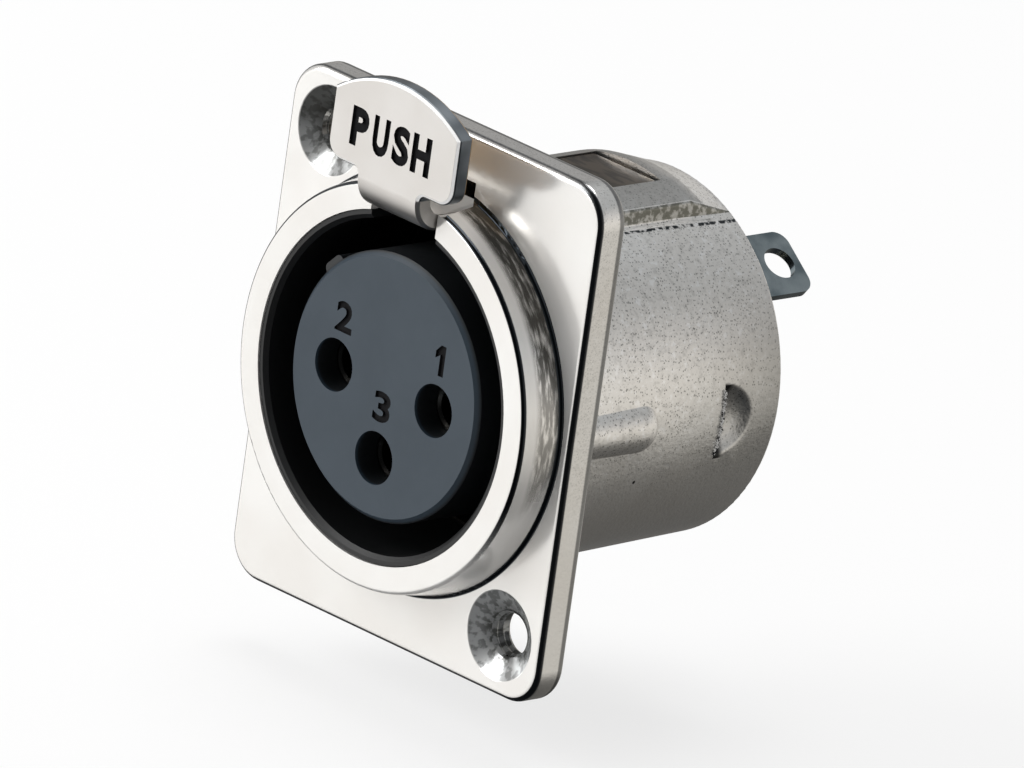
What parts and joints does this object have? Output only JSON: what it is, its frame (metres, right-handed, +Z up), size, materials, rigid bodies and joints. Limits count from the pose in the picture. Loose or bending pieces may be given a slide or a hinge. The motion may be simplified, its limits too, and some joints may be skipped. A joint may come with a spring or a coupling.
{
  "type": "panel connector socket",
  "caption": "Front-mounted square-flange audio panel socket: round collar, insert with sprung sockets, sprung push-tab latch, barrel with solder cups and a ground tag.",
  "frame": {"origin": "on the bore axis, in the plane of the flange's back, which lies on the front of the panel", "axes": "+Y along the bore towards the solder side, +Z up with the push tab on top, +X to the right seen from the front"},
  "size_m": [0.026, 0.0292, 0.0338],
  "materials": {
    "cast_nickel": "satin",
    "black_plastic": "satin",
    "slate_plastic": "satin",
    "contact_metal": "satin",
    "lever_steel": "satin",
    "pin_steel": "polished",
    "spring_steel": "satin",
    "tag_metal": "polished"
  },
  "bodies": {
    "socket": {"shell": "cast_nickel", "guide_ring": "black_plastic", "core": "slate_plastic", "carrier": "black_plastic", "rear_plate": "black_plastic", "contact_1": "contact_metal", "contact_2": "contact_metal", "contact_3": "contact_metal", "latch_pin": "pin_steel", "latch_spring": "spring_steel", "ground_tag": "tag_metal"},
    "lever": {"latch_lever": "lever_steel"}
  },
  "joints": [
    {"name": "latch_press", "type": "hinge", "parent": "socket", "child": "lever", "pos_m": [0, 0.01175, 0.00955], "axis": [-1, 0, 0], "range_deg": [0, 6.2], "stiffness_Nm_per_rad": 0.05, "springref_deg": -11.46, "deforming": ["latch_spring"]}
  ]
}
